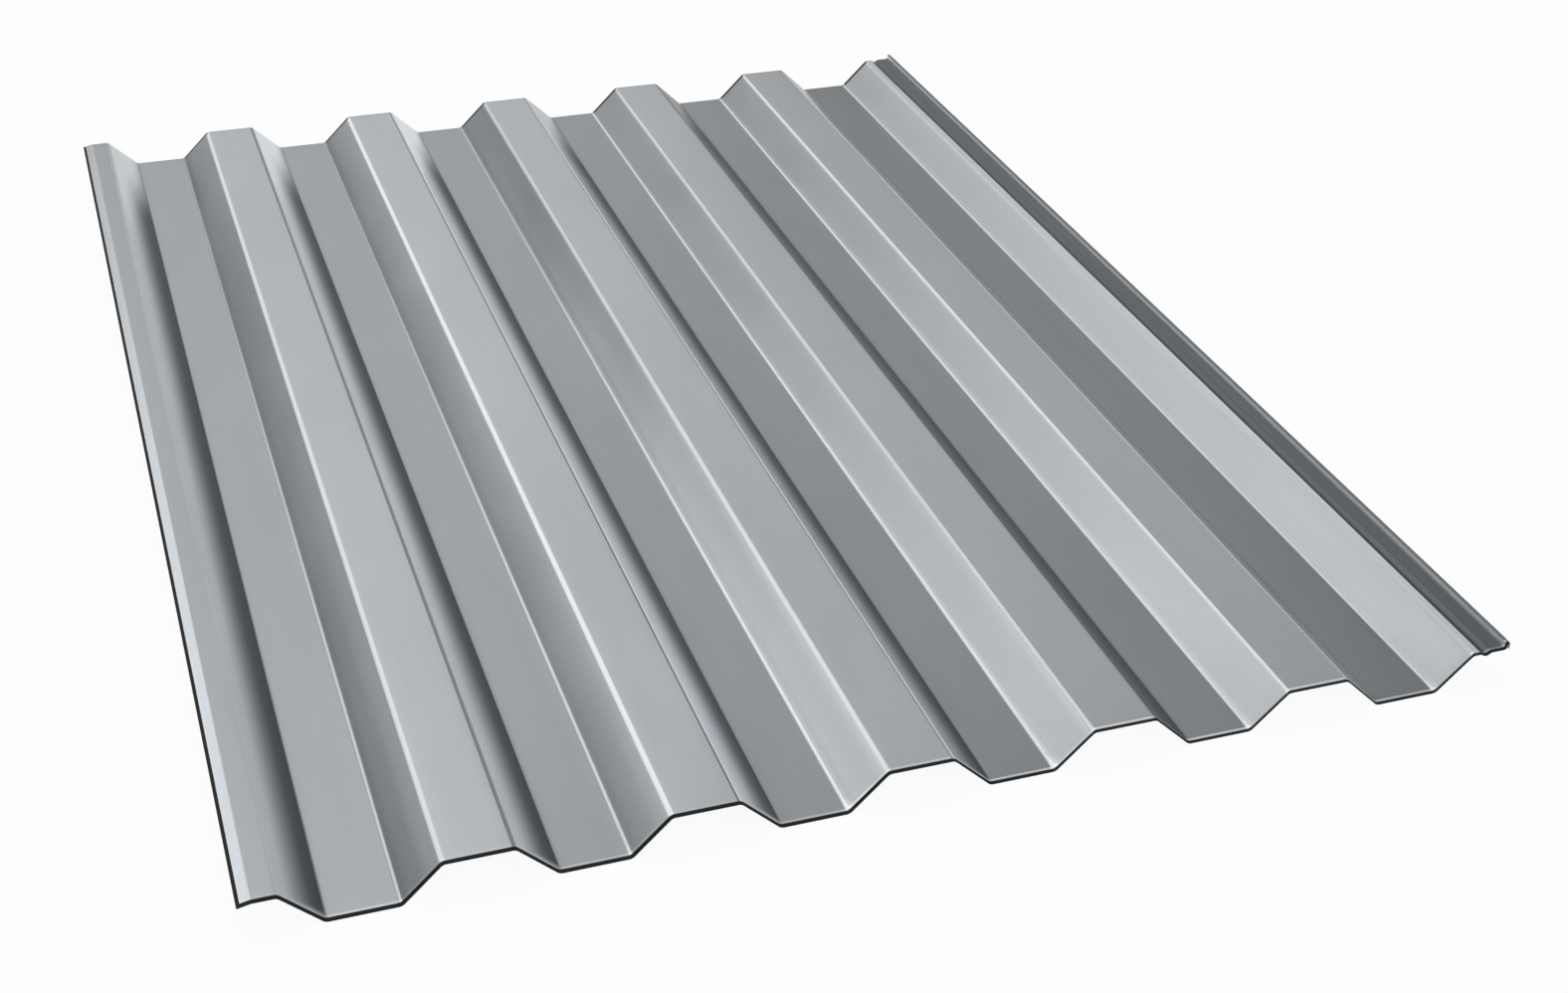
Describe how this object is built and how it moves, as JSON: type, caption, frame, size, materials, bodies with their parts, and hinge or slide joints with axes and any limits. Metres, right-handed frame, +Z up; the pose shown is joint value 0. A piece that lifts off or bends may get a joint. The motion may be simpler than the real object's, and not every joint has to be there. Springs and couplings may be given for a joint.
{
  "type": "trapezoidal corrugated roofing sheet",
  "caption": "Trapezoidal steel roofing sheet with flat valleys and crests, a folded drip lip on one edge and a grooved flange with a hemmed standing lip on the other.",
  "frame": {"origin": "middle of the sheet on the floor that it lies on, level with the undersides of the valleys", "axes": "+Y along the ribs, away from the end that faces the viewer; +X across them, from the drip lip to the standing lip; +Z up, out of the weather side"},
  "size_m": [1.0902, 1.5, 0.0393],
  "materials": {
    "coated_steel": "satin metallic grey coating on smooth roll-formed steel"
  },
  "bodies": {
    "root": {"roofing_sheet": "coated_steel"}
  },
  "joints": []
}
